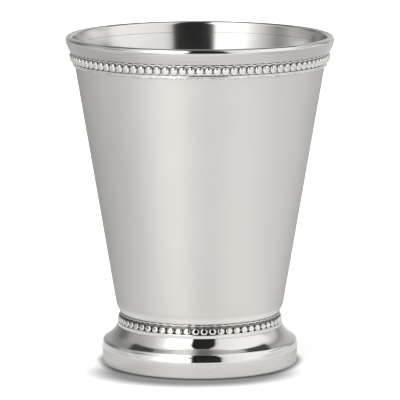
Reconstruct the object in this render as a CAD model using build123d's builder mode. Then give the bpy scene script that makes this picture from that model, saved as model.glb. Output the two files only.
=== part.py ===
from build123d import *
from build123d.topology import SkipClean

import os
from math import atan2, cos, degrees, pi, radians, sin, tan

# Julep cup: a drawn tapered cup with a rolled rim moulding, a spun hollow foot and two beaded wires.
# Frame: millimetres, +Z up along the cup's axis, origin on the standing face at the middle of the foot.
# Every piece is turned about Z, so a profile point is (radius, height).

# Overall sizes
overall_height = 101.6  # standing face to the crest of the lip
rim_diameter = 82.6  # over the rolled lip

# Drawn body
body_sheet = 0.9  # sheet thickness of wall and floor
body_base_diameter = 49.8  # outer cone carried down to the plane of the floor
heel_radius = 8.0  # outside turn from the wall to the floor
floor_height = 12.5  # underside of the floor above the standing face

# Rim moulding
lip_overhang = 1.34  # lip proud of the outer cone
lip_height = 3.4  # crest of the lip above the top edge of the wall
skirt_lap = 1.15  # skirt down the outside of the wall, below that edge
skirt_thickness = 0.88  # skirt at its lower edge, square to the wall
quirk_drop = 2.5  # crest of the lip to the fine line round the moulding
quirk_setback = 0.25  # the moulding's side draws in this far down to the line
quirk_depth = 0.22
quirk_width = 0.36

# Beaded wire, one stock for the rim and the foot
strip_height = 4.1
strip_thickness = 0.3
rail_radius = 0.35  # half-round rail along each edge of the strip
bead_diameter = 2.46
bead_pitch = 2.54  # bead to bead along the back of the strip

# Spun foot
foot_sheet = 1.1  # sheet thickness of collar, ogee, plinth and flange
collar_inset = 0.72  # collar inside the body's base diameter
ledge_width = 1.44  # shelf outside the collar that carries the beaded wire
foot_flare = 4.73  # plinth's top edge outside the ledge
plinth_height = 4.85  # straight band above the standing face
plinth_draft = 4.3  # degrees that the plinth draws in towards the standing face
neck_pull = 5.1  # how far the ogee reaches down from the ledge before it turns out
neck_lean = 31  # degrees that the ogee leans outward as it leaves the ledge
shoulder_height = 1.5  # straight shoulder between the ogee and the plinth
shoulder_lean = 7.5  # degrees that the shoulder leans outward down to the plinth
shoulder_pull = 1.8  # how far the ogee reaches up from the shoulder before it turns in
flange_width = 3.0  # in-turned standing flange
corner_radius = 0.35  # outside edge of the standing face

# Soldered seams
rim_solder_leg = 0.9  # down the wall, under the strip at the rim
rim_solder_climb = 50  # degrees that it climbs round the lower rail
foot_solder_leg = 1.1  # down the collar and in along the heel

# The cone of the body and its rounded heel
base_radius = body_base_diameter / 2
crest_radius = rim_diameter / 2 - lip_overhang
taper = atan2(crest_radius - base_radius, overall_height - floor_height)
wall_top = overall_height - lip_height
skirt_edge = wall_top - skirt_lap


def cone_radius(height, inset=0.0):
    """Radius of the body's cone at a height, measured a sheet's inset inside the outer face."""
    return base_radius + (height - floor_height) * tan(taper) - inset / cos(taper)


heel_middle = Vector(cone_radius(floor_height + heel_radius, heel_radius), floor_height + heel_radius)


def heel_height(radius):
    """Height of the outside of the rounded heel at a radius."""
    return heel_middle.Y - (heel_radius**2 - (radius - heel_middle.X) ** 2) ** 0.5


def cup_profile(inset, top):
    """Half section of the cup's form, filled to the axis: floor, rounded heel and cone."""
    floor = floor_height + inset
    with BuildSketch(Plane.XZ) as profile:
        with BuildLine():
            FilletPolyline(
                (0, floor),
                (cone_radius(floor, inset), floor),
                (cone_radius(top, inset), top),
                (0, top),
                radius=(0, heel_radius - inset, 0, 0),
                close=True,
            )
        make_face()
    return profile.sketch


# Cup body: wall, heel and floor, one drawn sheet
with BuildPart() as cup_body:
    revolve(cup_profile(0, wall_top), axis=Axis.Z)
    revolve(cup_profile(body_sheet, overall_height), axis=Axis.Z, mode=Mode.SUBTRACT)

# The lip is one arc: tangent to the bore, level at the crest, upright at the rim diameter
lip_width = rim_diameter / 2 - cone_radius(overall_height, body_sheet)
lip_radius = lip_width * cos(taper) / (1 + cos(taper) - sin(taper))
lip_middle = Vector(rim_diameter / 2 - lip_radius, overall_height - lip_radius)
quirk_radius = rim_diameter / 2 - quirk_setback
quirk_top = overall_height - quirk_drop

# The skirt ends square to the wall, where the beaded wire butts against it
up_wall = Vector(sin(taper), cos(taper))
off_wall = Vector(cos(taper), -sin(taper))
skirt_seat = Vector(cone_radius(skirt_edge), skirt_edge)

# Rim moulding: sits on the top edge of the wall and laps over its outside
with BuildPart() as rim_moulding:
    with BuildSketch(Plane.XZ):
        with BuildLine():
            bore = Line(
                (cone_radius(wall_top, body_sheet), wall_top),
                lip_middle - off_wall * lip_radius,
            )
            lip = ThreePointArc(
                bore @ 1,
                (lip_middle.X, overall_height),
                (rim_diameter / 2, lip_middle.Y),
            )
            side = TangentArc(lip @ 1, (quirk_radius, quirk_top), tangent=(0, -1))
            Polyline(
                side @ 1,
                (quirk_radius - quirk_depth, quirk_top - quirk_width / 2),
                (quirk_radius - quirk_depth / 2, quirk_top - quirk_width),
                skirt_seat + off_wall * skirt_thickness,
                skirt_seat,
                (cone_radius(wall_top), wall_top),
                bore @ 0,
            )
        make_face()
    revolve(axis=Axis.Z)


def bead_count(middle):
    """Number of whole beads in a wire whose back is bent to the radius of its middle."""
    return round(2 * pi * middle.X / bead_pitch)


def wire_plane(middle, lean, turn=0.0):
    """Plane of a wire's section at the middle of its back: x outwards, y up, leaning out, turned about Z."""
    return Plane(
        origin=Vector(middle.X, 0, middle.Y).rotate(Axis.Z, turn),
        x_dir=Vector(1, 0, 0).rotate(Axis.Y, lean).rotate(Axis.Z, turn),
        z_dir=Vector(0, -1, 0).rotate(Axis.Z, turn),
    )


def wire_section(plane):
    """Section of a wire between beads: a flat strip with a half-round rail along each edge."""
    edge = strip_height / 2
    with BuildSketch(plane) as section:
        with BuildLine():
            lower_rail = ThreePointArc(
                (strip_thickness, -edge),
                (strip_thickness + rail_radius, rail_radius - edge),
                (strip_thickness, 2 * rail_radius - edge),
            )
            upper_rail = ThreePointArc(
                (strip_thickness, edge - 2 * rail_radius),
                (strip_thickness + rail_radius, edge - rail_radius),
                (strip_thickness, edge),
            )
            Line(lower_rail @ 1, upper_rail @ 0)
            Polyline(upper_rail @ 1, (0, edge), (0, -edge), lower_rail @ 0)
        make_face()
    return section.sketch


def bead(plane):
    """One half-round bead on the middle of a wire, its flat back half way through the strip."""
    with Locations(plane):
        with Locations((strip_thickness / 2, 0)):
            Sphere(
                bead_diameter / 2,
                arc_size1=0,
                rotation=(0, 90, 0),
                align=(Align.CENTER, Align.CENTER, Align.MIN),
            )


# Beaded wire at the rim: on the cone, under the skirt of the moulding, made pitch by pitch
rim_wire_middle = skirt_seat - up_wall * (strip_height / 2)
rim_wire_lean = degrees(taper)
rim_beads = bead_count(rim_wire_middle)
with BuildPart() as rim_wire_pitch:
    revolve(
        wire_section(wire_plane(rim_wire_middle, rim_wire_lean, -180 / rim_beads)),
        axis=Axis.Z,
        revolution_arc=360 / rim_beads,
    )
    bead(wire_plane(rim_wire_middle, rim_wire_lean))

with BuildPart() as rim_bead_wire:
    with PolarLocations(0, rim_beads), SkipClean():
        add(rim_wire_pitch.part, clean=False)

# Solder along the lower edge of that wire, drawn up round its lower rail
with BuildPart() as rim_solder:
    with BuildSketch(wire_plane(rim_wire_middle, rim_wire_lean)):
        with BuildLine():
            wetted_rail = CenterArc(
                (strip_thickness, rail_radius - strip_height / 2),
                rail_radius,
                -90,
                rim_solder_climb,
            )
            Polyline(
                wetted_rail @ 1,
                (0, -strip_height / 2 - rim_solder_leg),
                (0, -strip_height / 2),
                wetted_rail @ 0,
            )
        make_face()
    revolve(axis=Axis.Z)

# Spun foot: its ledge lies one strip below the heel, so that the lower wire fills the space between
collar_radius = base_radius - collar_inset
collar_bore = collar_radius - foot_sheet
ledge_radius = collar_radius + ledge_width
ledge_height = heel_height(collar_radius + strip_thickness) - strip_height
plinth_top = Vector(ledge_radius + foot_flare, plinth_height)
neck_fall = Vector(sin(radians(neck_lean)), -cos(radians(neck_lean)))
shoulder_rise = Vector(-sin(radians(shoulder_lean)), cos(radians(shoulder_lean)))
plinth_rise = Vector(sin(radians(plinth_draft)), cos(radians(plinth_draft)))
plinth_inset = Vector(foot_sheet / plinth_rise.Y, 0)
shoulder_top = plinth_top + shoulder_rise * (shoulder_height / shoulder_rise.Y)
shoulder_inset = Vector(foot_sheet / shoulder_rise.Y, foot_sheet)
standing_corner = plinth_top - plinth_rise * (plinth_height / plinth_rise.Y)
flange_bore = standing_corner.X - flange_width


def ogee(top, neck, bottom, shoulder):
    """Ogee from a ledge down to a shoulder: one curve, leaning outward at both ends."""
    return Bezier(top, top + neck_fall * neck, bottom + shoulder_rise * shoulder, bottom)


with BuildPart() as foot_ring:
    with BuildSketch(Plane.XZ):
        with BuildLine():
            outside = ogee(
                Vector(ledge_radius, ledge_height),
                neck_pull,
                shoulder_top,
                shoulder_pull,
            )
            # The inner side turns half a sheet sooner, which keeps the sheet even along the ogee
            inside = ogee(
                Vector(ledge_radius - foot_sheet, ledge_height - foot_sheet),
                neck_pull - foot_sheet / 2,
                shoulder_top - shoulder_inset,
                shoulder_pull + foot_sheet / 2,
            )
            Polyline(
                outside @ 0,
                (collar_radius, ledge_height),
                (collar_radius, ledge_height + strip_height),
                (collar_bore, ledge_height + strip_height),
                (collar_bore, ledge_height - foot_sheet),
                inside @ 0,
            )
            FilletPolyline(
                outside @ 1,
                plinth_top,
                standing_corner,
                (flange_bore, 0),
                (flange_bore, foot_sheet),
                standing_corner + plinth_rise * (foot_sheet / plinth_rise.Y) - plinth_inset,
                inside @ 1,
                radius=(0, corner_radius, 0, 0, 0),
            )
        make_face()
        with Locations(heel_middle):
            Circle(heel_radius, mode=Mode.SUBTRACT)
    revolve(axis=Axis.Z)

# Beaded wire at the foot: round the collar, on the ledge, its top edge fitted to the heel
foot_wire_middle = Vector(collar_radius, ledge_height + strip_height / 2)
foot_beads = bead_count(foot_wire_middle)
with BuildPart() as foot_wire_pitch:
    with BuildSketch(Plane.XZ):
        add(wire_section(wire_plane(foot_wire_middle, 0)))
        with Locations(heel_middle):
            Circle(heel_radius, mode=Mode.SUBTRACT)
    revolve(axis=Axis.Z, revolution_arc=360 / foot_beads)
    bead(wire_plane(foot_wire_middle, 0, 180 / foot_beads))

with BuildPart() as foot_bead_wire:
    with PolarLocations(0, foot_beads), SkipClean():
        add(foot_wire_pitch.part, clean=False)

# Solder inside the foot, between the bore of the collar and the heel
solder_reach = collar_bore - foot_solder_leg
solder_foot = heel_height(collar_bore) - foot_solder_leg
with BuildPart() as foot_solder:
    with BuildSketch(Plane.XZ):
        with BuildLine():
            Polyline(
                (solder_reach, heel_height(solder_reach)),
                (solder_reach, heel_height(collar_bore)),
                (collar_bore, heel_height(collar_bore)),
                (collar_bore, solder_foot),
            )
            SagittaArc(
                (collar_bore, solder_foot),
                (solder_reach, heel_height(solder_reach)),
                -foot_solder_leg / 6,
            )
        make_face()
        with Locations(heel_middle):
            Circle(heel_radius, mode=Mode.SUBTRACT)
    revolve(axis=Axis.Z)

cup_body.part.label = "cup_body"
rim_moulding.part.label = "rim_moulding"
rim_bead_wire.part.label = "rim_bead_wire"
rim_solder.part.label = "rim_solder"
foot_ring.part.label = "foot_ring"
foot_bead_wire.part.label = "foot_bead_wire"
foot_solder.part.label = "foot_solder"

os.makedirs("parts", exist_ok=True)
export_step(cup_body.part, "parts/cup_body.step")
export_step(rim_moulding.part, "parts/rim_moulding.step")
export_step(rim_bead_wire.part, "parts/rim_bead_wire.step")
export_step(rim_solder.part, "parts/rim_solder.step")
export_step(foot_ring.part, "parts/foot_ring.step")
export_step(foot_bead_wire.part, "parts/foot_bead_wire.step")
export_step(foot_solder.part, "parts/foot_solder.step")
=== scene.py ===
"""Looks of a julep cup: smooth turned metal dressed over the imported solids, in a plain studio.

Pieces are drawn in millimetres as (radius, height) outlines about the cup's axis and become metres in their
meshes. The front of the cup faces -Y.
"""

import logging
import math
import random
from collections.abc import Callable, Sequence
from dataclasses import dataclass, field, replace
from enum import Enum

import bpy
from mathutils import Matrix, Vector

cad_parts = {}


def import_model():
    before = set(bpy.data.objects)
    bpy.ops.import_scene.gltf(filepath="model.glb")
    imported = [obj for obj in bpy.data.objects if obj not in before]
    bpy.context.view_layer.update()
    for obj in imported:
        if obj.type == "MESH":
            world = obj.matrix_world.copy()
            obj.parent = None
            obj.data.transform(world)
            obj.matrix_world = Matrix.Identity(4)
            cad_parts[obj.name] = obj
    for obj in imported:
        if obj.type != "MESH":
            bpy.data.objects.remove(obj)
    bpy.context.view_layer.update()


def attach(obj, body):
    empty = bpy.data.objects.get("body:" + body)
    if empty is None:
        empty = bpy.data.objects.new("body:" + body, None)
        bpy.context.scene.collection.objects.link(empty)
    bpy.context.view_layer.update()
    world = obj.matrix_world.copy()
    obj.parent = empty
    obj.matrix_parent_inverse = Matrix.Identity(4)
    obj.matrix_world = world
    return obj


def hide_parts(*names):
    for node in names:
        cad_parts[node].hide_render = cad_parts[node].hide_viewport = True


LOG = logging.getLogger("julep_cup")
MM = 0.001
TOUCH = 1e-6
BODY = "root"
RUN_LAYER = "run"
CHART_LAYER = "OFBake"

Point = tuple[float, float]
Colour = tuple[float, float, float]
Place = tuple[float, float, float]
Socket = bpy.types.NodeSocket


class Slot(Enum):
    """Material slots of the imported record."""

    SATIN = "satin_steel"
    POLISHED = "polished_steel"
    SOLDER = "solder"


class Seat(Enum):
    """The two places where a beaded wire is soldered on."""

    RIM = "rim"
    FOOT = "foot"


def straight(start: Point, end: Point, steps: int) -> list[Point]:
    """Points along a straight run.

    Args:
        start: First point.
        end: Last point.
        steps: Divisions between them.

    Returns:
        The points, both ends included.
    """
    return [
        (
            start[0] + (end[0] - start[0]) * i / steps,
            start[1] + (end[1] - start[1]) * i / steps,
        )
        for i in range(steps + 1)
    ]


def arc(middle: Point, radius: float, start: float, end: float, steps: int) -> list[Point]:
    """Points along a circular arc.

    Args:
        middle: Centre of the arc.
        radius: Its radius.
        start: First angle in degrees, from outwards towards up.
        end: Last angle in degrees.
        steps: Divisions between them.

    Returns:
        The points, both ends included.
    """
    turns = [math.radians(start + (end - start) * i / steps) for i in range(steps + 1)]
    return [(middle[0] + radius * math.cos(t), middle[1] + radius * math.sin(t)) for t in turns]


def bezier(hull: Sequence[Point], steps: int) -> list[Point]:
    """Points along a cubic curve.

    Args:
        hull: Its four control points.
        steps: Divisions along it.

    Returns:
        The points, both ends included.
    """
    points = []
    for i in range(steps + 1):
        t = i / steps
        weights = ((1 - t) ** 3, 3 * t * (1 - t) ** 2, 3 * t * t * (1 - t), t**3)
        points.append(
            (
                sum(w * p[0] for w, p in zip(weights, hull)),
                sum(w * p[1] for w, p in zip(weights, hull)),
            )
        )
    return points


@dataclass(frozen=True)
class Ripple:
    """Slow unevenness round the axis, which closes on itself."""

    orders: tuple[int, ...]
    phase: float

    def at(self, angle: float) -> float:
        """Value at an angle in radians, between -1 and 1."""
        waves = [math.cos(n * angle + self.phase * n * n) for n in self.orders]
        return sum(waves) / len(waves)


@dataclass(frozen=True)
class Stretch:
    """One run of an outline and the number of the finish that it takes."""

    points: list[Point]
    finish: int = 0


@dataclass
class MeshDraft:
    """Vertices, faces and texture places of one piece while it is drawn."""

    places: list[Place] = field(default_factory=list)
    faces: list[tuple[int, ...]] = field(default_factory=list)
    finishes: list[int] = field(default_factory=list)
    charts: list[tuple[Point, ...]] = field(default_factory=list)
    runs: list[float] = field(default_factory=list)

    def put(self, place: Place, run: float) -> int:
        """Adds a vertex.

        Args:
            place: Where it is, in millimetres.
            run: Length along the outline up to it, in millimetres.

        Returns:
            Its number.
        """
        self.places.append(tuple(c * MM for c in place))
        self.runs.append(run)
        return len(self.places) - 1

    def cover(self, corners: tuple[int, ...], chart: tuple[Point, ...], finish: int) -> None:
        """Adds a face.

        Args:
            corners: Numbers of its vertices.
            chart: Their texture places.
            finish: Number of its finish.
        """
        self.faces.append(corners)
        self.charts.append(chart)
        self.finishes.append(finish)

    def turn(
        self,
        stretches: Sequence[Stretch],
        steps: int,
        chart: Point = (0.0, 1.0),
        uneven: Callable[[Point, float], Point] | None = None,
    ) -> None:
        """Turns an outline about the axis. One that starts on the axis is open, any other is closed.

        Args:
            stretches: Runs of the outline, end to end, clockwise as (radius, height) is usually plotted.
            steps: Divisions round the axis.
            chart: Lowest and highest texture place along the outline.
            uneven: Moves an outline point at an angle in radians.
        """
        points: list[Point] = []
        finishes: list[int] = []
        for stretch in stretches:
            for point in stretch.points:
                if points and math.dist(point, points[-1]) < TOUCH:
                    continue
                points.append(point)
                finishes.append(stretch.finish)
        closed = points[0][0] > TOUCH
        if closed and math.dist(points[0], points[-1]) > TOUCH:
            points.append(points[0])
            finishes.append(finishes[-1])
        run = [0.0]
        for a, b in zip(points, points[1:]):
            run.append(run[-1] + math.dist(a, b))
        height = [chart[0] + (chart[1] - chart[0]) * r / run[-1] for r in run]
        rings: list[list[int]] = []
        for i, point in enumerate(points):
            if closed and i == len(points) - 1:
                rings.append(rings[0])
                continue
            if point[0] < TOUCH:
                rings.append([self.put((0.0, 0.0, point[1]), run[i])] * steps)
                continue
            ring = []
            for k in range(steps):
                angle = 2 * math.pi * k / steps
                radius, level = uneven(point, angle) if uneven else point
                ring.append(self.put((radius * math.cos(angle), radius * math.sin(angle), level), run[i]))
            rings.append(ring)
        for i in range(len(points) - 1):
            for k in range(steps):
                nxt = (k + 1) % steps
                corners = (rings[i][k], rings[i + 1][k], rings[i + 1][nxt], rings[i][nxt])
                places = (
                    (k / steps, height[i]),
                    (k / steps, height[i + 1]),
                    ((k + 1) / steps, height[i + 1]),
                    ((k + 1) / steps, height[i]),
                )
                kept = [j for j in range(4) if corners[j] != corners[j - 1]]
                self.cover(
                    tuple(corners[j] for j in kept),
                    tuple(places[j] for j in kept),
                    finishes[i + 1],
                )

    def mesh(self, name: str, crease: float) -> bpy.types.Mesh:
        """Makes the mesh.

        Args:
            name: Its name.
            crease: Edges that turn by more than this many degrees stay sharp.

        Returns:
            A smooth mesh with its texture places and outline lengths.
        """
        mesh = bpy.data.meshes.new(name)
        mesh.from_pydata(self.places, [], self.faces)
        mesh.polygons.foreach_set("material_index", self.finishes)
        layer = mesh.uv_layers.new(name=CHART_LAYER)
        layer.data.foreach_set("uv", [c for chart in self.charts for place in chart for c in place])
        length = mesh.attributes.new(RUN_LAYER, "FLOAT", "POINT")
        length.data.foreach_set("value", self.runs)
        mesh.shade_smooth()
        mesh.set_sharp_from_angle(angle=math.radians(crease))
        mesh.update()
        return mesh


@dataclass
class NodeBench:
    """Places and wires the nodes of one tree."""

    tree: bpy.types.NodeTree

    def add(self, kind: str, inputs: dict | None = None, **settings: object) -> bpy.types.Node:
        """Adds a node.

        Args:
            kind: Blender's name of the node type.
            inputs: Sockets by name or number, each with a constant or the socket that feeds it.
            **settings: Properties of the node itself.

        Returns:
            The new node.
        """
        node = self.tree.nodes.new(kind)
        for name, value in settings.items():
            setattr(node, name, value)
        for key, value in (inputs or {}).items():
            if isinstance(value, Socket):
                self.tree.links.new(value, node.inputs[key])
            else:
                node.inputs[key].default_value = value
        return node

    def math(self, operation: str, *values: object) -> Socket:
        """Result of a Math node on constants and sockets."""
        return self.add("ShaderNodeMath", dict(enumerate(values)), operation=operation).outputs[0]

    def ease(self, value: Socket, span: Point, to: Point, way: str = "SMOOTHSTEP") -> Socket:
        """Carries a value from one range to another.

        Args:
            value: The value.
            span: Where it starts and ends.
            to: What it becomes there.
            way: Blender's name of the way in between.

        Returns:
            The carried value, held at both ends.
        """
        inputs = {"Value": value, 1: span[0], 2: span[1], 3: to[0], 4: to[1]}
        return self.add("ShaderNodeMapRange", inputs, interpolation_type=way).outputs[0]

    def vector(self, operation: str, first: object, second: object) -> bpy.types.Node:
        """Vector Math node on constants and sockets."""
        return self.add("ShaderNodeVectorMath", {0: first, 1: second}, operation=operation)

    def mix(self, share: object, first: object, second: object, blend: str = "MIX") -> Socket:
        """Lays a second colour over a first one.

        Args:
            share: How much of the second colour is laid on, 0 to 1.
            first: Colour or socket underneath.
            second: Colour or socket on top.
            blend: Blender's name of the way in which they meet.

        Returns:
            The resulting colour.
        """
        node = self.add("ShaderNodeMix", data_type="RGBA", blend_type=blend)
        for key, value in ((0, share), (6, first), (7, second)):
            if isinstance(value, Socket):
                self.tree.links.new(value, node.inputs[key])
            else:
                node.inputs[key].default_value = value if key == 0 else (*value, 1.0)
        return node.outputs[2]

    def ramp(self, share: Socket, stops: Sequence[Point]) -> Socket:
        """Grey that follows a turn about the axis.

        Args:
            share: The turn, 0 to 1 for a whole one.
            stops: Turns in degrees from -180 to 180, each with its tone.

        Returns:
            The grey.
        """
        node = self.add("ShaderNodeValToRGB", {0: share})
        elements = node.color_ramp.elements
        while len(elements) < len(stops):
            elements.new(0.5)
        for element, (turn, tone) in zip(elements, stops):
            element.position = (turn + 180.0) / 360.0
            element.color = (tone, tone, tone, 1.0)
        return node.outputs["Color"]


def fresh_material(name: str) -> tuple[bpy.types.Material, NodeBench]:
    """A new material with an empty node tree.

    Args:
        name: The material's name.

    Returns:
        The material and the bench for its nodes.
    """
    material = bpy.data.materials.new(name)
    material.use_nodes = True
    material.node_tree.nodes.clear()
    return material, NodeBench(material.node_tree)


@dataclass(frozen=True)
class SteelFinish:
    """Turned steel: tool marks run round the axis, handling dulls it in patches. Crevices are darker,
    partly from patina and partly as painted shade, and a finish may carry a painted highlight low down.
    """

    name: str
    colour: Colour
    roughness: float
    mark_roughness: float
    mark_pitch: float
    mark_depth: float
    edge_tint: float = 0.9
    smudge: float = 0.02
    anisotropy: float = 0.0
    patina_and_shade: Colour = (0.16, 0.15, 0.135)
    crevice: float = 1.1
    crevice_span: Point = (0.25, 0.85)
    crevice_share: float = 0.85
    patch_scale: float = 55.0
    patch_shade: float = 0.94
    smudge_span: Point = (0.35, 0.75)
    mark_draw: float = 5.0
    painted_light_span: Point | None = None
    painted_light_gain: float = 1.45
    painted_light_limit: float = 0.97

    def material(self) -> bpy.types.Material:
        """Builds the node material of this finish.

        Returns:
            The material.
        """
        material, bench = fresh_material(self.name)
        place = bench.add("ShaderNodeTexCoord").outputs["Object"]
        run = bench.add("ShaderNodeAttribute", attribute_name=RUN_LAYER).outputs["Fac"]
        marks = self.tool_marks(bench, place, run)
        patches = bench.add(
            "ShaderNodeTexNoise",
            {"Vector": place, "Scale": self.patch_scale, "Detail": 4.0, "Roughness": 0.6},
        ).outputs["Fac"]
        # Crevice darkening driven by ambient occlusion: partly patina, partly painted shade where little
        # light reaches.
        open_sky = bench.add("ShaderNodeAmbientOcclusion", {"Distance": self.crevice * MM}, samples=8)
        patina_and_shade_mask = bench.ease(open_sky.outputs["AO"], self.crevice_span, (self.crevice_share, 0.0))
        clean = bench.mix(patches, self.colour, tuple(c * self.patch_shade for c in self.colour))
        # Painted highlight: below the given heights the colour is lightened, standing in for light
        # reflected onto the heel.
        if self.painted_light_span:
            height = bench.add("ShaderNodeSeparateXYZ", {0: place}).outputs["Z"]
            low = bench.ease(height, tuple(z * MM for z in self.painted_light_span), (1.0, 0.0))
            painted_lit_colour = tuple(min(self.painted_light_limit, c * self.painted_light_gain) for c in self.colour)
            clean = bench.mix(low, clean, painted_lit_colour)
        smudges = bench.ease(patches, self.smudge_span, (0.0, 1.0))
        dulled = bench.math("MULTIPLY", smudges, self.smudge)
        marked = bench.math("MULTIPLY", bench.math("SUBTRACT", marks, 0.5), self.mark_roughness)
        roughness = bench.math("ADD", bench.math("ADD", dulled, marked), self.roughness)
        bump = bench.add(
            "ShaderNodeBump", {"Strength": 1.0, "Distance": self.mark_depth * MM, "Height": marks}
        )
        shader = bench.add(
            "ShaderNodeBsdfPrincipled",
            {
                "Base Color": bench.mix(patina_and_shade_mask, clean, self.patina_and_shade),
                "Metallic": 1.0,
                "Roughness": roughness,
                "Specular Tint": (self.edge_tint, self.edge_tint, self.edge_tint, 1.0),
                "Anisotropic": self.anisotropy,
                "Anisotropic Rotation": 0.25,
                "Normal": bump.outputs["Normal"],
            },
        )
        if self.anisotropy:
            round_axis = bench.add("ShaderNodeTangent", direction_type="RADIAL", axis="Z")
            bench.tree.links.new(round_axis.outputs["Tangent"], shader.inputs["Tangent"])
        bench.add("ShaderNodeOutputMaterial", {"Surface": shader.outputs["BSDF"]})
        return material

    def tool_marks(self, bench: NodeBench, place: Socket, run: Socket) -> Socket:
        """Fine marks drawn out round the axis.

        Args:
            bench: Bench of the material's tree.
            place: Object coordinates.
            run: Length along the outline in millimetres.

        Returns:
            A value from 0 to 1.
        """
        flat = bench.vector("MULTIPLY", place, (1.0, 1.0, 0.0))
        ray = bench.add("ShaderNodeVectorMath", {0: flat.outputs[0]}, operation="NORMALIZE")
        draw = {0: ray.outputs[0], "Scale": self.mark_draw}
        slow = bench.add("ShaderNodeVectorMath", draw, operation="SCALE")
        across = bench.add("ShaderNodeCombineXYZ", {"Z": bench.math("DIVIDE", run, self.mark_pitch)})
        drawn = bench.vector("ADD", slow.outputs[0], across.outputs[0])
        noise = bench.add(
            "ShaderNodeTexNoise",
            {"Vector": drawn.outputs[0], "Scale": 1.0, "Detail": 3.0, "Roughness": 0.65},
        )
        return noise.outputs["Fac"]


@dataclass(frozen=True)
class SolderFinish:
    """Soft solder left as it set: grey, uneven and pitted."""

    name: str = "soft_solder"
    bright: Colour = (0.7, 0.69, 0.67)
    dull: Colour = (0.5, 0.49, 0.47)
    clot_scale: float = 900.0
    dull_span: Point = (0.35, 0.7)
    pit_depth: float = 0.03
    rough_span: Point = (0.3, 0.75)
    roughness: Point = (0.1, 0.28)

    def material(self) -> bpy.types.Material:
        """Builds the node material of this finish.

        Returns:
            The material.
        """
        material, bench = fresh_material(self.name)
        place = bench.add("ShaderNodeTexCoord").outputs["Object"]
        clots = bench.add(
            "ShaderNodeTexNoise",
            {"Vector": place, "Scale": self.clot_scale, "Detail": 3.0, "Roughness": 0.6},
        ).outputs["Fac"]
        share = bench.ease(clots, self.dull_span, (0.0, 1.0))
        bump = bench.add(
            "ShaderNodeBump", {"Strength": 1.0, "Distance": self.pit_depth * MM, "Height": clots}
        )
        shader = bench.add(
            "ShaderNodeBsdfPrincipled",
            {
                "Base Color": bench.mix(share, self.bright, self.dull),
                "Metallic": 1.0,
                "Roughness": bench.ease(clots, self.rough_span, self.roughness),
                "Normal": bump.outputs["Normal"],
            },
        )
        bench.add("ShaderNodeOutputMaterial", {"Surface": shader.outputs["BSDF"]})
        return material


SATIN_WALL = SteelFinish(
    name="satin_wall",
    colour=(0.684, 0.667, 0.642),
    edge_tint=0.7,
    roughness=0.44,
    mark_roughness=0.05,
    mark_pitch=0.22,
    mark_depth=0.0004,
    anisotropy=0.6,
    crevice=0.35,
    # Painted highlight on the heel, the lowest part of the wall.
    painted_light_span=(16.0, 18.5),
)
TURNED_BORE = SteelFinish(
    name="turned_bore",
    colour=(0.68, 0.67, 0.65),
    roughness=0.14,
    mark_roughness=0.06,
    mark_pitch=0.3,
    mark_depth=0.0008,
    smudge=0.03,
    anisotropy=0.5,
)
POLISHED_STEEL = SteelFinish(
    name="polished_trim",
    colour=(0.7, 0.69, 0.67),
    edge_tint=0.95,
    roughness=0.05,
    mark_roughness=0.03,
    mark_pitch=0.35,
    mark_depth=0.0003,
)
BRUSHED_PLINTH = SteelFinish(
    name="brushed_plinth",
    colour=(0.62, 0.61, 0.592),
    edge_tint=0.8,
    roughness=0.26,
    mark_roughness=0.05,
    mark_pitch=0.25,
    mark_depth=0.0004,
    anisotropy=0.4,
)
BRUSHED_SKIRT = SteelFinish(
    name="brushed_skirt",
    colour=(0.54, 0.53, 0.515),
    roughness=0.12,
    mark_roughness=0.06,
    mark_pitch=0.3,
    mark_depth=0.0008,
    anisotropy=0.3,
)
# Near-black steel for the bed between the beads: painted shade where the beads and borders shut out the
# light.
SHADED_BED = SteelFinish(
    name="shaded_bed",
    colour=(0.17, 0.16, 0.15),
    roughness=0.3,
    mark_roughness=0.1,
    mark_pitch=0.4,
    mark_depth=0.002,
    smudge=0.15,
)
# Dark steel for the foot wire's wedge under the heel: painted shade where the overhanging heel shuts out
# the light.
SHADED_WEDGE = replace(SHADED_BED, name="shaded_wedge", colour=(0.2, 0.19, 0.175), smudge=0.1)


def dress(
    draft: MeshDraft,
    name: str,
    node: str,
    finishes: Sequence[SteelFinish | SolderFinish],
    crease: float = 28.0,
) -> bpy.types.Object:
    """Makes a piece of a draft, dresses it and puts it in place of its solid.

    Args:
        draft: What was drawn.
        name: Name of the piece.
        node: The solid that it stands for.
        finishes: Finishes in the order of their numbers.
        crease: Edges that turn by more than this many degrees stay sharp.

    Returns:
        The piece.
    """
    mesh = draft.mesh(name, crease)
    for finish in finishes:
        mesh.materials.append(bpy.data.materials.get(finish.name) or finish.material())
    piece = bpy.data.objects.new(name, mesh)
    bpy.context.scene.collection.objects.link(piece)
    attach(piece, BODY)
    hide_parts(node)
    LOG.info("%s: %d faces in place of %s", name, len(mesh.polygons), node)
    return piece


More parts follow.
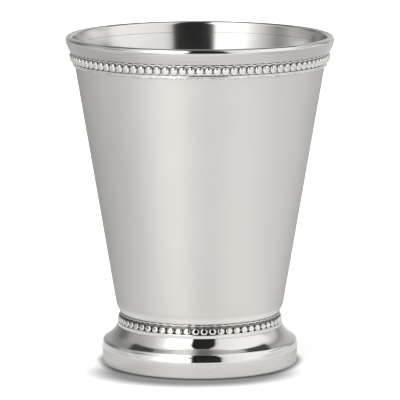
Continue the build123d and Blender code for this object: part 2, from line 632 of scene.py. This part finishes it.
@dataclass
class CupBody:
    """The drawn cup: floor, rounded heel and conical wall of one sheet."""

    overall_height: float = 101.6
    crest_radius: float = 39.96
    base_radius: float = 24.9
    floor_height: float = 12.5
    heel_radius: float = 8.0
    sheet: float = 0.9
    wall_top: float = 98.2
    mouth_chamfer: float = 0.05
    waviness: float = 0.012
    wave: Ripple = Ripple((2, 3, 5, 8), 0.35)
    wave_twist: float = 0.011
    wave_foot: float = 22.0
    wave_margin: float = 6.0
    wave_fade: float = 10.0
    steps: int = 288

    @property
    def taper(self) -> float:
        """Lean of the wall from upright, in radians."""
        return math.atan2(self.crest_radius - self.base_radius, self.overall_height - self.floor_height)

    @property
    def up_wall(self) -> Point:
        """Direction up along the wall."""
        return math.sin(self.taper), math.cos(self.taper)

    @property
    def off_wall(self) -> Point:
        """Direction square out of the wall."""
        return math.cos(self.taper), -math.sin(self.taper)

    @property
    def heel_middle(self) -> Point:
        """Centre of the rounded heel."""
        level = self.floor_height + self.heel_radius
        return self.radius_at(level, self.heel_radius), level

    def radius_at(self, height: float, inset: float = 0.0) -> float:
        """Radius of the cone.

        Args:
            height: Height above the standing face.
            inset: Distance inside the outer face.

        Returns:
            The radius there.
        """
        lean = math.tan(self.taper)
        return self.base_radius + (height - self.floor_height) * lean - inset / math.cos(self.taper)

    def heel_height(self, radius: float) -> float:
        """Height of the outside of the rounded heel at a radius."""
        across = radius - self.heel_middle[0]
        return self.heel_middle[1] - math.sqrt(self.heel_radius**2 - across**2)

    def heel_run(self, start: float, end: float, steps: int) -> list[Point]:
        """Points along the outside of the heel from one radius to another, both included."""
        return [(r, self.heel_height(r)) for r, _ in straight((start, 0.0), (end, 0.0), steps)]

    def side(self, inset: float, top: float) -> list[Point]:
        """One face of the sheet, from the axis out along the floor and up the wall.

        Args:
            inset: Distance inside the outer face.
            top: Height where it ends.

        Returns:
            Its points.
        """
        floor = self.floor_height + inset
        heel = arc(self.heel_middle, self.heel_radius - inset, -90.0, -math.degrees(self.taper), steps=24)
        return [
            *straight((0.0, floor), heel[0], steps=12),
            *heel,
            *straight(heel[-1], (self.radius_at(top, inset), top), steps=48),
        ]

    def uneven(self, point: Point, angle: float) -> Point:
        """Slight waviness of the drawn sheet, none at its ends.

        Args:
            point: Point of the outline.
            angle: Where it is round the axis, in radians.

        Returns:
            The moved point.
        """
        wave = self.wave.at(angle + point[1] * self.wave_twist)
        below = max(0.0, (self.wall_top - self.wave_margin - point[1]) / self.wave_fade)
        above = max(0.0, point[1] - self.wave_foot) / self.wave_fade
        return point[0] + self.waviness * wave * min(1.0, below, above), point[1]

    def build(self) -> bpy.types.Object:
        """Draws and dresses the cup's body.

        Returns:
            The piece.
        """
        bore = self.side(self.sheet, self.wall_top - self.mouth_chamfer)
        mouth = [
            (self.radius_at(self.wall_top, self.sheet) + self.mouth_chamfer, self.wall_top),
            (self.radius_at(self.wall_top), self.wall_top),
        ]
        outside = self.side(0.0, self.wall_top)[::-1]
        satin, turned = range(2)
        sheet = [Stretch(bore, turned), Stretch(mouth, turned), Stretch(outside, satin)]
        draft = MeshDraft()
        draft.turn(sheet, self.steps, uneven=self.uneven)
        return dress(draft, "cup_wall", "cup_body", (SATIN_WALL, TURNED_BORE))


@dataclass
class RimMoulding:
    """The rolled lip on the wall's top edge, with its fine line and the skirt down the outside."""

    cup: CupBody
    rim_radius: float = 41.285
    lip_drop: float = 0.004
    skirt_lap: float = 1.15
    skirt_thickness: float = 0.88
    quirk_drop: float = 2.5
    quirk_setback: float = 0.25
    quirk_depth: float = 0.14
    quirk_width: float = 0.36
    seam_chamfer: float = 0.05
    lip_steps: int = 40
    bore_steps: int = 5
    steps: int = 320

    @property
    def skirt_seat(self) -> Point:
        """Lower inner corner of the skirt, on the wall."""
        level = self.cup.wall_top - self.skirt_lap
        return self.cup.radius_at(level), level

    def build(self) -> bpy.types.Object:
        """Draws and dresses the moulding.

        Returns:
            The piece.
        """
        cup = self.cup
        taper = cup.taper
        lip_width = self.rim_radius - cup.radius_at(cup.overall_height, cup.sheet)
        lip_radius = lip_width * math.cos(taper) / (1 + math.cos(taper) - math.sin(taper))
        middle = (self.rim_radius - lip_radius, cup.overall_height - lip_radius - self.lip_drop)
        lip = arc(middle, lip_radius, 180.0 - math.degrees(taper), 0.0, self.lip_steps)
        quirk = (self.rim_radius - self.quirk_setback, cup.overall_height - self.quirk_drop)
        drop = middle[1] - quirk[1]
        swell = (self.quirk_setback**2 + drop**2) / (2 * self.quirk_setback)
        side_turn = -math.degrees(math.asin(drop / swell))
        side = arc((self.rim_radius - swell, middle[1]), swell, 0.0, side_turn, steps=12)
        seat = self.skirt_seat
        hem = (
            seat[0] + cup.off_wall[0] * self.skirt_thickness,
            seat[1] + cup.off_wall[1] * self.skirt_thickness,
        )
        ledge = (quirk[0] - self.quirk_depth, quirk[1] - self.quirk_width)
        bore_foot = (cup.radius_at(cup.wall_top, cup.sheet), cup.wall_top)
        bore = [
            (bore_foot[0] + self.seam_chamfer, bore_foot[1]),
            *straight((bore_foot[0], bore_foot[1] + self.seam_chamfer), lip[0], steps=4),
            *lip[: self.bore_steps + 1],
        ]
        skirt = [
            *side,
            (quirk[0] - self.quirk_depth, quirk[1] - self.quirk_width / 2),
            *straight(ledge, hem, steps=6),
        ]
        back = [seat, (cup.radius_at(cup.wall_top), cup.wall_top)]
        polished, turned, brushed = range(3)
        finishes = (POLISHED_STEEL, TURNED_BORE, BRUSHED_SKIRT)
        crown = lip[self.bore_steps :]
        runs = ((bore, turned), (crown, polished), (skirt, brushed), (back, polished))
        draft = MeshDraft()
        draft.turn([Stretch(points, finish) for points, finish in runs], self.steps)
        return dress(draft, "rim_lip", "rim_moulding", finishes)


@dataclass
class BeadedWire:
    """A strip with a row of half-round beads between its borders.

    At the rim both borders are half-round rails. At the foot the upper one is a rail over a wedge coloured
    dark as painted shade, and the lower one a kerb that stands on the ledge.
    """

    seat: Seat
    middle: Point
    lean: float
    beads: int
    first_bead: float
    strip_height: float = 4.1
    strip_thickness: float = 0.3
    rail_radius: float = 0.35
    rail_dip: float = 0.25
    dip_rise: float = 0.6
    bed_edge: float = 0.9
    cap_middle: Point = (0.42, -0.13)
    cap_radius: float = 0.25
    wedge_nose: float = 0.95
    wedge_foot: float = 0.7
    kerb_top: float = -0.65
    kerb_middle: Point = (1.0, -1.1)
    kerb_radius: float = 0.3
    kerb_face: Point = (1.31, -1.2)
    kerb_foot: float = 1.28
    bead_tilt: float = 0.0
    bead_shift: float = 0.0
    bead_width: float = 2.58
    bead_height: float = 2.7
    bead_stand: float = 1.05
    bead_fullness: float = 3.0
    size_spread: float = 0.012
    bead_chart: Point = (0.78, 0.2)
    crease: float = 40.0
    bead_steps: int = 8
    around: int = 24
    rings: int = 10

    def at(self, out: float, up: float) -> Point:
        """Point of the section.

        Args:
            out: Distance out from the middle of the strip's back.
            up: Distance up along the strip.

        Returns:
            Its radius and height.
        """
        lean = self.lean
        return (
            self.middle[0] + out * math.cos(lean) + up * math.sin(lean),
            self.middle[1] - out * math.sin(lean) + up * math.cos(lean),
        )

    def strip(self) -> list[Stretch]:
        """Outline of the strip: its back and borders, and the bed that the beads stand in.

        Returns:
            The outline's runs, with the finishes in the order that build gives them.
        """
        # The bed, and at the foot the wedge, take dark finishes that paint shade.
        polished, bed_shade, wedge_shade = range(3)
        edge = self.strip_height / 2
        face = self.strip_thickness
        back = [(0.0, -edge), (0.0, edge)]
        if self.seat is Seat.RIM:
            upper = arc((face, edge - self.rail_radius), self.rail_radius, 90.0, -90.0, steps=12)
            lower = arc((face, self.rail_radius - edge), self.rail_radius, 90.0, -90.0, steps=12)
            lower.insert(0, (face, -self.bed_edge))
            wedge = [upper[-1], (face, self.bed_edge)]
            wedge_finish = polished
        else:
            cap = (self.cap_middle[0], edge + self.cap_middle[1])
            upper = arc(cap, self.cap_radius, 90.0, -60.0, steps=8)
            lower = [
                (face, self.kerb_top),
                *arc(self.kerb_middle, self.kerb_radius, 90.0, 0.0, steps=6),
                *straight(self.kerb_face, (self.kerb_foot, -edge), steps=4),
            ]
            nose = (self.wedge_nose, self.bed_edge)
            wedge = [*straight(upper[-1], nose, steps=4), (face, self.wedge_foot)]
            wedge_finish = wedge_shade
        bed = straight(wedge[-1], lower[0], steps=6)
        runs = (
            (back, polished),
            (upper, polished),
            (wedge, wedge_finish),
            (bed, bed_shade),
            (lower, polished),
        )
        return [Stretch([self.at(*p) for p in points], finish) for points, finish in runs]

    def scallop(self, point: Point, angle: float) -> Point:
        """Lets the upper rail dip between the beads.

        Args:
            point: Point of the outline.
            angle: Where it is round the axis, in radians.

        Returns:
            The moved point.
        """
        height = (point[1] - self.middle[1]) / math.cos(self.lean)
        grip = min(1.0, max(0.0, height - self.bed_edge) / self.dip_rise)
        wave = math.cos(self.beads * angle - 2 * math.pi * self.first_bead)
        dip = self.rail_dip * grip * (1.0 - wave) / 2
        return point[0] - dip * math.sin(self.lean), point[1] - dip * math.cos(self.lean)

    def bead(self, draft: MeshDraft, angle: float, scale: float) -> None:
        """Adds one bead to a draft, flattened a little in front as a die leaves it.

        Args:
            draft: The draft.
            angle: Where it stands round the axis, in radians.
            scale: Its size against the usual one.
        """
        ray = Vector((math.cos(angle), math.sin(angle), 0.0))
        along = Vector((-math.sin(angle), math.cos(angle), 0.0))
        rise = Vector((0.0, 0.0, 1.0))
        lean = self.lean - math.radians(self.bead_tilt)
        out = ray * math.cos(lean) - rise * math.sin(lean)
        up = ray * math.sin(lean) + rise * math.cos(lean)
        level = self.at(self.strip_thickness / 2, self.bead_shift)
        centre = ray * level[0] + rise * level[1]
        power = 2 / self.bead_fullness
        profile = []
        for i in range(1, self.rings + 1):
            tilt = math.pi / 2 * i / self.rings
            profile.append((math.sin(tilt) ** power, self.bead_stand * max(0.0, math.cos(tilt)) ** power))
        along *= self.bead_width / 2 * scale
        up *= self.bead_height / 2 * scale

        def chart(step: float, reach: float) -> Point:
            """Texture place of a point of the bead, seen square on.

            Args:
                step: Division round the bead.
                reach: Distance from its crown, 1 at its foot.

            Returns:
                The texture place.
            """
            turn = 2 * math.pi * step / self.around
            side = reach * math.cos(turn) / self.beads / 2
            level, spread = self.bead_chart
            return angle / (2 * math.pi) % 1.0 + side, level + spread * (reach * math.sin(turn))

        crown = draft.put(tuple(centre + out * self.bead_stand), 0.0)
        before: list[int] = []
        last = 0.0
        for reach, stand in profile:
            ring = []
            for k in range(self.around):
                turn = 2 * math.pi * k / self.around
                place = centre + out * stand + (along * math.cos(turn) + up * math.sin(turn)) * reach
                ring.append(draft.put(tuple(place), reach))
            for k in range(self.around):
                n = (k + 1) % self.around
                if before:
                    corners = (before[k], ring[k], ring[n], before[n])
                    places = (chart(k, last), chart(k, reach), chart(k + 1, reach), chart(k + 1, last))
                else:
                    corners = (crown, ring[k], ring[n])
                    places = (chart(k, 0.0), chart(k, reach), chart(k + 1, reach))
                draft.cover(corners, places, 0)
            before = ring
            last = reach

    def build(self) -> bpy.types.Object:
        """Draws and dresses the wire.

        Returns:
            The piece.
        """
        chance = random.Random(self.beads)
        draft = MeshDraft()
        draft.turn(self.strip(), self.beads * self.bead_steps, chart=(0.0, 0.5), uneven=self.scallop)
        for k in range(self.beads):
            scale = 1 + chance.uniform(-self.size_spread, self.size_spread)
            self.bead(draft, 2 * math.pi * (k + self.first_bead) / self.beads, scale)
        place = self.seat.value
        finishes = (POLISHED_STEEL, SHADED_BED, SHADED_WEDGE)
        return dress(draft, f"{place}_beads", f"{place}_bead_wire", finishes, self.crease)


@dataclass
class SpunFoot:
    """The hollow foot: collar, ledge, ogee, plinth and in-turned standing flange."""

    cup: CupBody
    sheet: float = 1.1
    collar_inset: float = 0.72
    ledge_width: float = 1.44
    flare: float = 4.73
    plinth_height: float = 4.85
    plinth_draft: float = 4.3
    neck_pull: float = 5.1
    neck_lean: float = 31.0
    shoulder_height: float = 1.5
    shoulder_lean: float = 7.5
    shoulder_pull: float = 1.8
    flange_width: float = 3.0
    corner_radius: float = 0.35
    wire_height: float = BeadedWire.strip_height
    wire_thickness: float = BeadedWire.strip_thickness
    crease: float = 24.0
    steps: int = 320

    @property
    def collar_radius(self) -> float:
        """Outside of the collar."""
        return self.cup.base_radius - self.collar_inset

    @property
    def ledge_height(self) -> float:
        """Level of the ledge, one wire below the heel."""
        return self.cup.heel_height(self.collar_radius + self.wire_thickness) - self.wire_height

    def ogee(self, top: Point, neck: float, bottom: Point, shoulder: float) -> list[Point]:
        """Ogee from the ledge down to the shoulder, leaning outward at both ends.

        Args:
            top: Where it leaves the ledge.
            neck: How far it reaches down before it turns out.
            bottom: Where it meets the shoulder.
            shoulder: How far it reaches up before it turns in.

        Returns:
            Its points.
        """
        fall = math.radians(self.neck_lean)
        rise = math.radians(self.shoulder_lean)
        high = (top[0] + neck * math.sin(fall), top[1] - neck * math.cos(fall))
        low = (bottom[0] - shoulder * math.sin(rise), bottom[1] + shoulder * math.cos(rise))
        return bezier((top, high, low, bottom), steps=72)

    def outline(self) -> list[Stretch]:
        """Section of the foot, from the top of the collar's bore up, over and round.

        Returns:
            The section's runs, polished but for the brushed plinth.
        """
        slope = math.radians(self.plinth_draft)
        rise = (math.sin(slope), math.cos(slope))
        ledge = (self.collar_radius + self.ledge_width, self.ledge_height)
        top = (ledge[0] + self.flare, self.plinth_height)
        corner = (top[0] - self.plinth_height * math.tan(slope), 0.0)
        bore = self.collar_radius - self.sheet
        inset = self.sheet / rise[1]
        inner_ledge = (ledge[0] - self.sheet, ledge[1] - self.sheet)
        lean = math.radians(self.shoulder_lean)
        shoulder = (top[0] - self.shoulder_height * math.tan(lean), top[1] + self.shoulder_height)
        inner_shoulder = (shoulder[0] - self.sheet / math.cos(lean), shoulder[1] - self.sheet)
        outside = self.ogee(ledge, self.neck_pull, shoulder, self.shoulder_pull)
        outside.extend(straight(shoulder, top, steps=4))
        neck = self.neck_pull - self.sheet / 2
        inside = self.ogee(inner_ledge, neck, inner_shoulder, self.shoulder_pull + self.sheet / 2)[::-1]
        bend = self.corner_radius
        bend_middle = (corner[0] + bend * math.tan(slope) - bend / rise[1], bend)
        flange = corner[0] - self.flange_width
        collar = [
            *self.cup.heel_run(bore, self.collar_radius, steps=4),
            (self.collar_radius, self.ledge_height),
        ]
        plinth = [
            *straight(top, (corner[0] + bend * math.tan(slope), bend), steps=6),
            *arc(bend_middle, bend, -self.plinth_draft, -90.0, steps=8),
        ]
        hollow = [
            (flange, 0.0),
            (flange, self.sheet),
            (corner[0] + self.sheet * math.tan(slope) - inset, self.sheet),
            *inside,
            (bore, self.ledge_height - self.sheet),
        ]
        return [Stretch(collar), Stretch(outside), Stretch(plinth, 1), Stretch(hollow)]

    def build(self) -> bpy.types.Object:
        """Draws and dresses the foot.

        Returns:
            The piece.
        """
        draft = MeshDraft()
        draft.turn(self.outline(), self.steps)
        finishes = (POLISHED_STEEL, BRUSHED_PLINTH)
        return dress(draft, "spun_foot", "foot_ring", finishes, self.crease)


@dataclass
class RimSolder:
    """The uneven roll of solder under the beads at the rim."""

    wire: BeadedWire
    top: float = -1.25
    face: tuple[Point, ...] = ((0.28, -1.3), (0.55, -1.7), (0.78, -2.3), (0.62, -2.6))
    foot: tuple[Point, ...] = ((0.45, -2.7), (0.0, -2.78))
    wander: float = 0.14
    ripple: Ripple = Ripple((5, 11, 23, 41, 67), 0.6)
    crease: float = 50.0
    steps: int = 480

    def build(self) -> bpy.types.Object:
        """Draws and dresses the seam.

        Returns:
            The piece.
        """
        wire = self.wire
        roll = [(0.0, self.top), *bezier(self.face, steps=16), *self.foot]
        outline = [wire.at(*p) for p in [roll[-1], *roll]]
        ridge = wire.at(0.0, self.top)

        def uneven(point: Point, angle: float) -> Point:
            """Lets the lower edge of the roll wander.

            Args:
                point: Point of the outline.
                angle: Where it is round the axis, in radians.

            Returns:
                The moved point.
            """
            short = self.wander * (1.0 - self.ripple.at(angle))
            rise = max(0.0, ridge[1] - point[1]) * short
            return point[0] + rise * math.tan(wire.lean), point[1] + rise

        draft = MeshDraft()
        draft.turn([Stretch(outline)], self.steps, uneven=uneven)
        return dress(draft, "rim_seam", "rim_solder", (SolderFinish(),), self.crease)


@dataclass
class FootSolder:
    """The fillet of solder inside the foot, between the collar's bore and the heel."""

    foot: SpunFoot
    leg: float = 1.1
    hollow: Point = (0.1, 0.12)
    wander: float = 0.12
    ripple: Ripple = Ripple((4, 9, 17), 0.8)
    crease: float = 50.0
    steps: int = 240

    def build(self) -> bpy.types.Object:
        """Draws and dresses the seam.

        Returns:
            The piece.
        """
        bore = self.foot.collar_radius - self.foot.sheet
        reach = bore - self.leg
        heel = self.foot.cup.heel_run(reach, bore, steps=5)
        low = (bore, heel[-1][1] - self.leg)
        sag = (
            (low[0] + reach) / 2 + self.hollow[0],
            (low[1] + heel[0][1]) / 2 + self.hollow[1],
        )

        def uneven(point: Point, angle: float) -> Point:
            """Lets the fillet's lower edge wander."""
            depth = (heel[-1][1] - point[1]) / self.leg
            return point[0], point[1] + max(0.0, depth) * self.wander * (1.0 + self.ripple.at(angle))

        draft = MeshDraft()
        draft.turn([Stretch([*heel, low, sag, heel[0]])], self.steps, uneven=uneven)
        return dress(draft, "foot_seam", "foot_solder", (SolderFinish(),), self.crease)


@dataclass
class Studio:
    """Camera, floor and the room whose soft walls light the cup.

    Places in the room are told by turn, in degrees from the camera's side towards the right, and by
    elevation in degrees. Its walls have a dark slot before the cup and a dado of other tones at their foot.
    Overhead it is dark, and behind the cup a hood hangs over a dark gap.
    """

    eye: Place = (0.0, -1.0664, 0.219)
    aim: Place = (0.00006, 0.0, 0.05027)
    lens: float = 314.4
    floor_size: float = 8.0
    floor_colour: Colour = (0.93, 0.93, 0.925)
    grain_scale: float = 300.0
    grain_shade: float = 0.985
    floor_lift: float = 0.38
    floor_dim: tuple[tuple[Point, Point, float], ...] = (
        ((-0.9, 0.44), (0.0, 0.14), 0.5),
        ((0.75, 0.66), (0.0, 0.14), 0.7),
    )
    far_way: Place = (-0.5, -0.87, 0.0)
    far_span: Point = (0.12, 0.22)
    far_lift: float = 0.2
    camera_lift: float = 0.06
    camera_gain: float = 1.3
    contact: float = 3.5
    contact_span: Point = (0.5, 0.97)
    contact_tone: float = 0.35
    cast_middle: Place = (-1.8, -19.5, 0.0)
    cast_squash: Place = (1.0, 1.4, 1.0)
    cast_radius: float = 33.8
    cast_edge: Point = (-11.0, 3.0)
    cast_tone: float = 0.25
    mirror_span: Point = (-0.03, -0.01)
    mirror_share: Point = (0.4, 0.18)
    slot: float = 8.0
    slot_taper: Point = (40.0, 74.0)
    slot_top: float = 0.6
    skirting: Point = (4.0, 9.0)
    dado_top: Point = (22.0, 34.0)
    zenith: float = 0.06
    gap: float = 0.08
    hood: float = 0.3
    front_ceiling: Point = (72.0, 86.0)
    rear_gap: Point = (40.0, 45.0)
    rear_hood: Point = (57.0, 63.0)
    rear_ceiling: Point = (77.0, 82.0)
    rear_turn: Point = (112.0, 126.0)
    walls: tuple[Point, ...] = (
        (-180.0, 0.6), (-160.0, 0.5), (-148.0, 0.32), (-138.0, 0.38), (-130.0, 0.4),
        (-122.0, 0.48), (-100.0, 0.57), (-80.0, 0.78), (-60.0, 1.2), (-50.0, 1.7),
        (-42.0, 2.2), (-12.0, 2.5), (-9.0, 0.02), (24.0, 0.03), (27.0, 0.85),
        (33.0, 1.12), (60.0, 1.25), (100.0, 1.28), (115.0, 1.2), (128.0, 0.8),
        (138.0, 0.4), (150.0, 0.6), (165.0, 0.75), (180.0, 0.6),
    )
    dado: tuple[Point, ...] = (
        (-180.0, 1.0), (-146.0, 1.0), (-138.0, 0.56), (-126.0, 0.56), (-112.0, 1.0),
        (-97.0, 1.1), (-87.0, 0.56), (-78.0, 0.36), (-70.0, 0.55), (-62.0, 0.7),
        (-55.0, 0.74), (-48.0, 0.76), (-40.0, 0.76), (-15.0, 0.7), (-12.5, 0.02),
        (-8.0, 0.02), (-5.0, 1.0), (88.0, 1.0), (97.0, 0.6), (110.0, 0.5),
        (120.0, 0.8), (128.0, 1.0), (180.0, 1.0),
    )

    def place_camera(self) -> None:
        """Stands the camera where the photograph was taken from."""
        camera = bpy.data.cameras.new("camera")
        camera.lens = self.lens
        stand = bpy.data.objects.new("camera", camera)
        stand.location = self.eye
        stand.rotation_euler = (Vector(self.aim) - Vector(self.eye)).to_track_quat("-Z", "Y").to_euler()
        bpy.context.scene.collection.objects.link(stand)
        bpy.context.scene.camera = stand

    def painted_floor_shadow(self, bench: NodeBench, place: Socket, seen: Socket) -> Socket:
        """Painted shadow of the cup: a soft oval before the foot and a thin dark line round it.

        Args:
            bench: Bench of the floor's tree.
            place: Object coordinates.
            seen: 1 for a ray from the camera, which sees all of the shadow. Reflections see less of it.

        Returns:
            How much of the floor's tone is left, 0 to 1.
        """
        middle = tuple(c * s * MM for c, s in zip(self.cast_middle, self.cast_squash))
        edge = tuple((self.cast_radius + e) * MM for e in self.cast_edge)
        oval = bench.vector("MULTIPLY", place, self.cast_squash)
        spot = bench.vector("DISTANCE", oval.outputs["Vector"], middle)
        cast = bench.ease(spot.outputs["Value"], edge, (self.cast_tone, 1.0))
        near = bench.add("ShaderNodeAmbientOcclusion", {"Distance": self.contact * MM}, samples=16)
        line = bench.ease(near.outputs["AO"], self.contact_span, (self.contact_tone, 1.0))
        bare = bench.math("MULTIPLY", cast, line)
        across = bench.add("ShaderNodeSeparateXYZ", {0: place}).outputs["X"]
        weight = bench.math("MAXIMUM", seen, bench.ease(across, self.mirror_span, self.mirror_share))
        covered = bench.math("MULTIPLY", bench.math("SUBTRACT", 1.0, bare), weight)
        return bench.math("SUBTRACT", 1.0, covered)

    def floor_material(self) -> bpy.types.Material:
        """Pale paper, white to the camera. In the metal it shows painted shade to both sides and a painted
        glow far in front.

        Returns:
            The material.
        """
        material, bench = fresh_material("paper_floor")
        place = bench.add("ShaderNodeTexCoord").outputs["Object"]
        grain = bench.add("ShaderNodeTexNoise", {"Vector": place, "Scale": self.grain_scale, "Detail": 2.0})
        shaded = tuple(self.grain_shade * c for c in self.floor_colour)
        tone = bench.mix(grain.outputs["Fac"], self.floor_colour, shaded)
        path = bench.add("ShaderNodeLightPath").outputs
        seen = path["Is Camera Ray"]
        shown = bench.math("MAXIMUM", path["Is Glossy Ray"], path["Is Transmission Ray"])
        shown = bench.math("MAXIMUM", seen, shown)
        dimmed = 0.0
        # Painted shade: the floor's tone darkens to both sides behind the cup.
        for side, span, dim in self.floor_dim:
            way = bench.vector("DOT_PRODUCT", place, (*side, 0.0)).outputs["Value"]
            share = bench.ease(way, span, (0.0, 1.0 - dim))
            tone = bench.mix(share, tone, (0.0, 0.0, 0.0))
            dimmed = bench.math("ADD", share, dimmed)
        # Painted light: the floor glows more far in front of the cup.
        far = bench.vector("DOT_PRODUCT", place, self.far_way).outputs["Value"]
        beyond = bench.ease(far, self.far_span, (0.0, self.far_lift))
        lift = bench.math("MULTIPLY", shown, bench.math("ADD", beyond, self.floor_lift))
        whiter = bench.math("ADD", bench.math("MULTIPLY", dimmed, self.camera_gain), self.camera_lift)
        lift = bench.math("ADD", lift, bench.math("MULTIPLY", whiter, seen))
        # Painted shadow of the cup, dimming both the paper and its glow.
        bare = self.painted_floor_shadow(bench, place, seen)
        paper = bench.add("ShaderNodeBsdfDiffuse", {"Color": bench.mix(bare, (0.0, 0.0, 0.0), tone)})
        glow = bench.add("ShaderNodeEmission", {"Strength": bench.math("MULTIPLY", lift, bare)})
        both = bench.add("ShaderNodeAddShader", {0: paper.outputs[0], 1: glow.outputs[0]})
        bench.add("ShaderNodeOutputMaterial", {"Surface": both.outputs[0]})
        return material

    def lay_floor(self) -> None:
        """Lays the pale floor, which keeps the cup's cast shadow, with a painted shadow laid over it."""
        half = self.floor_size / 2
        corners = [(-half, -half, 0.0), (half, -half, 0.0), (half, half, 0.0), (-half, half, 0.0)]
        mesh = bpy.data.meshes.new("floor")
        mesh.from_pydata(corners, [], [(0, 1, 2, 3)])
        mesh.materials.append(self.floor_material())
        floor = bpy.data.objects.new("floor", mesh)
        bpy.context.scene.collection.objects.link(floor)

    def paint_room(self) -> None:
        """Gives the room its tones. The camera itself sees plain white."""
        world = bpy.data.worlds.new("studio_room")
        world.use_nodes = True
        world.node_tree.nodes.clear()
        bpy.context.scene.world = world
        bench = NodeBench(world.node_tree)
        way = bench.add("ShaderNodeTexCoord").outputs["Generated"]
        axes = bench.add("ShaderNodeSeparateXYZ", {0: way}).outputs
        azimuth = bench.math("ARCTAN2", axes["X"], bench.math("MULTIPLY", axes["Y"], -1.0))
        elevation = bench.math("ARCSINE", axes["Z"])

        def within(angle: Socket, span: Point, to: Point = (0.0, 1.0)) -> Socket:
            """Carries an angle from a span in degrees to another range."""
            return bench.ease(angle, (math.radians(span[0]), math.radians(span[1])), to)

        def above(first: object, tone: float, span: Point) -> Socket:
            """Goes over to a tone between two elevations in degrees."""
            return bench.mix(within(elevation, span), first, (tone,) * 3)

        slot = math.radians(self.slot)
        narrow = within(elevation, self.slot_taper, (1.0, self.slot_top))
        warped = bench.math("MULTIPLY", bench.math("SUBTRACT", azimuth, slot), narrow)
        turn = bench.math("ADD", warped, slot)
        around = bench.ease(turn, (-math.pi, math.pi), (0.0, 1.0), "LINEAR")
        foot = within(elevation, self.dado_top, (1.0, 0.0))
        foot = bench.math("MULTIPLY", foot, within(elevation, self.skirting))
        low = bench.mix(foot, bench.ramp(around, self.walls), bench.ramp(around, self.dado), "MULTIPLY")
        front = above(low, self.zenith, self.front_ceiling)
        rear = above(above(low, self.gap, self.rear_gap), self.hood, self.rear_hood)
        rear = above(rear, self.zenith, self.rear_ceiling)
        behind = within(bench.math("ABSOLUTE", azimuth), self.rear_turn)
        room = bench.mix(behind, front, rear)
        direct = bench.add("ShaderNodeLightPath").outputs["Is Camera Ray"]
        shade = bench.add("ShaderNodeBackground", {"Color": bench.mix(direct, room, (1.0, 1.0, 1.0))})
        bench.add("ShaderNodeOutputWorld", {"Surface": shade.outputs[0]})

    def build(self) -> None:
        """Sets up the whole studio."""
        bpy.context.scene.view_settings.view_transform = "Standard"
        self.place_camera()
        self.lay_floor()
        self.paint_room()
        LOG.info("studio: camera, floor and room")


def main() -> None:
    """Builds the pieces in order, then the studio."""
    logging.basicConfig(level=logging.INFO, format="%(name)s %(message)s")
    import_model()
    cup = CupBody()
    moulding = RimMoulding(cup)
    foot = SpunFoot(cup)
    edge = BeadedWire.strip_height / 2
    seat = moulding.skirt_seat
    rim_wire = BeadedWire(
        Seat.RIM,
        middle=(seat[0] - cup.up_wall[0] * edge, seat[1] - cup.up_wall[1] * edge),
        lean=cup.taper,
        beads=96,
        first_bead=0.0,
    )
    foot_wire = BeadedWire(
        Seat.FOOT,
        middle=(foot.collar_radius, foot.ledge_height + edge),
        lean=0.0,
        beads=60,
        first_bead=0.5,
        bead_tilt=13.0,
        bead_shift=-0.1,
        bead_width=2.4,
        bead_height=2.25,
        bead_fullness=4.0,
    )
    for assembly in (cup, moulding, rim_wire, RimSolder(rim_wire), foot, foot_wire, FootSolder(foot)):
        assembly.build()
    Studio().build()


if __name__ == "__main__":
    main()
